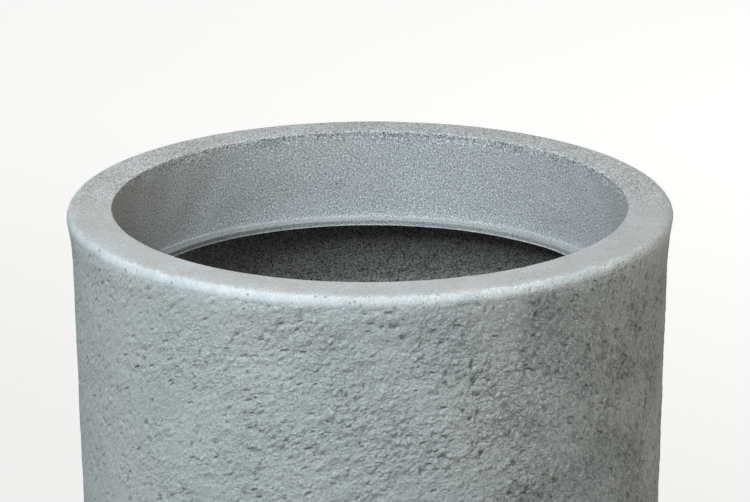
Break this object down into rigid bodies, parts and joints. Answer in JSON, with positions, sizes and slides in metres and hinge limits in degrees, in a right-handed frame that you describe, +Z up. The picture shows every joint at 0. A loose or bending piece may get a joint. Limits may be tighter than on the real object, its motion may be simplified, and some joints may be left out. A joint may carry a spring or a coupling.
{
  "type": "round floor planter",
  "caption": "Thin-shell round floor planter with a wide folded rim, an inner collar with a ledge, and a plugged drain in the floor.",
  "frame": {"origin": "on the ground, at the centre of the base", "axes": "+Z up along the planter's axis; +X lies midway between pads 4 and 1, +Y midway between pads 1 and 2"},
  "size_m": [0.4, 0.4, 0.4],
  "materials": {
    "shell_concrete": "rough pitted concrete, smoother on the rim",
    "collar_concrete": "fine granular concrete",
    "sleeve_plastic": "moulded, matt",
    "plug_rubber": "matt",
    "foot_rubber": "matt"
  },
  "bodies": {
    "planter": {"shell": "shell_concrete", "collar": "collar_concrete", "drain_sleeve": "sleeve_plastic", "foot_1": "foot_rubber", "foot_2": "foot_rubber", "foot_3": "foot_rubber", "foot_4": "foot_rubber"},
    "plug": {"drain_plug": "plug_rubber"}
  },
  "joints": [
    {"name": "plug_lift", "type": "slide", "parent": "planter", "child": "plug", "axis": [0, 0, 1], "range_m": [0, 0.42]}
  ]
}
